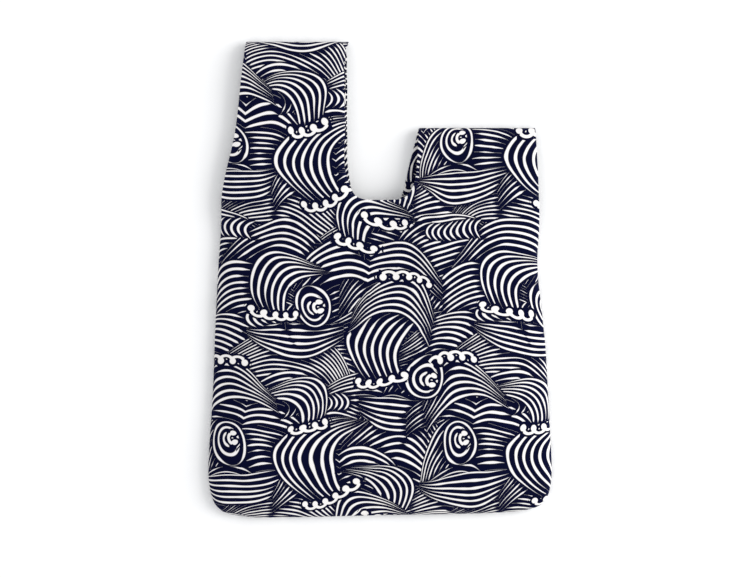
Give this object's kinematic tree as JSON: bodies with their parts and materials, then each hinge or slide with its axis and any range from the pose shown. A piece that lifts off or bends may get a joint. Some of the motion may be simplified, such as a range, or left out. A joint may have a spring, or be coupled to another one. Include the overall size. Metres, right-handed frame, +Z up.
{
  "type": "handbag",
  "caption": "Small knot handbag of lined, wave-printed cotton, empty and laid flat, with a long and a short loop handle cut in one with its rounded body.",
  "frame": {"origin": "on the ground under the middle of the bag as it lies flat", "axes": "+Y from the bottom seam to the top of the long handle, +X from the long handle to the short one, +Z up out of the front panel"},
  "size_m": [0.2409, 0.3327, 0.0155],
  "materials": {
    "outer_cotton": "plain-woven cotton, navy with off-white printed waves",
    "lining_cotton": "the same printed cotton, turned inward"
  },
  "bodies": {
    "root": {"outer_front": "outer_cotton", "outer_back": "outer_cotton", "lining_front": "lining_cotton", "lining_back": "lining_cotton"}
  },
  "joints": []
}
